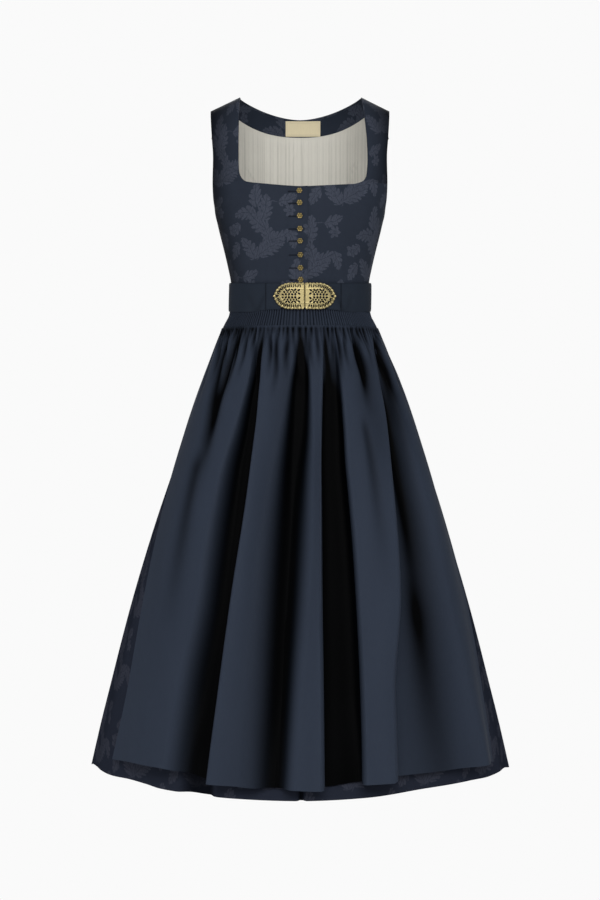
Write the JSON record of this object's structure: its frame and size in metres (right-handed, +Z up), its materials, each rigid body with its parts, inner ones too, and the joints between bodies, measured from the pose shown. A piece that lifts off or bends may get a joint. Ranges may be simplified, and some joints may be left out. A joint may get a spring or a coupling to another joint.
{
  "type": "dirndl",
  "caption": "Sleeveless dirndl with a fitted bodice buttoned at the front, a square neck, a clasp belt, and a gathered apron over a wide skirt.",
  "frame": {"origin": "midway between the two shoulder seams, at the height where the straps bear on the wearer's shoulders", "axes": "+Z up, -Y out of the front with the buttons and clasp, +X to the wearer's left"},
  "size_m": [0.6896, 0.6373, 1.1073],
  "materials": {
    "navy_brocade": "tone-on-tone brocade of leaf scrolls, soft sheen",
    "navy_satin": "plain satin, soft sheen",
    "navy_belt_satin": "plain satin, dull",
    "cream_lining": "matt fine weave",
    "cream_label": "matt woven, bare",
    "gilt_brass": "gilt, softly polished",
    "antique_brass": "antique, darkened in the recesses"
  },
  "bodies": {
    "root": {"bodice_front_right": "navy_brocade", "bodice_front_left": "navy_brocade", "bodice_back": "navy_brocade", "back_neck_facing": "navy_brocade", "back_lining": "cream_lining", "neck_label": "cream_label", "waistband": "navy_belt_satin", "buckle_right_half": "gilt_brass", "buckle_left_half": "gilt_brass", "apron": "navy_satin", "skirt_front": "navy_brocade", "skirt_back": "navy_brocade", "button_1": "antique_brass", "button_2": "antique_brass", "button_3": "antique_brass", "button_4": "antique_brass", "button_5": "antique_brass", "button_6": "antique_brass", "button_7": "antique_brass", "button_8": "antique_brass"}
  },
  "joints": []
}
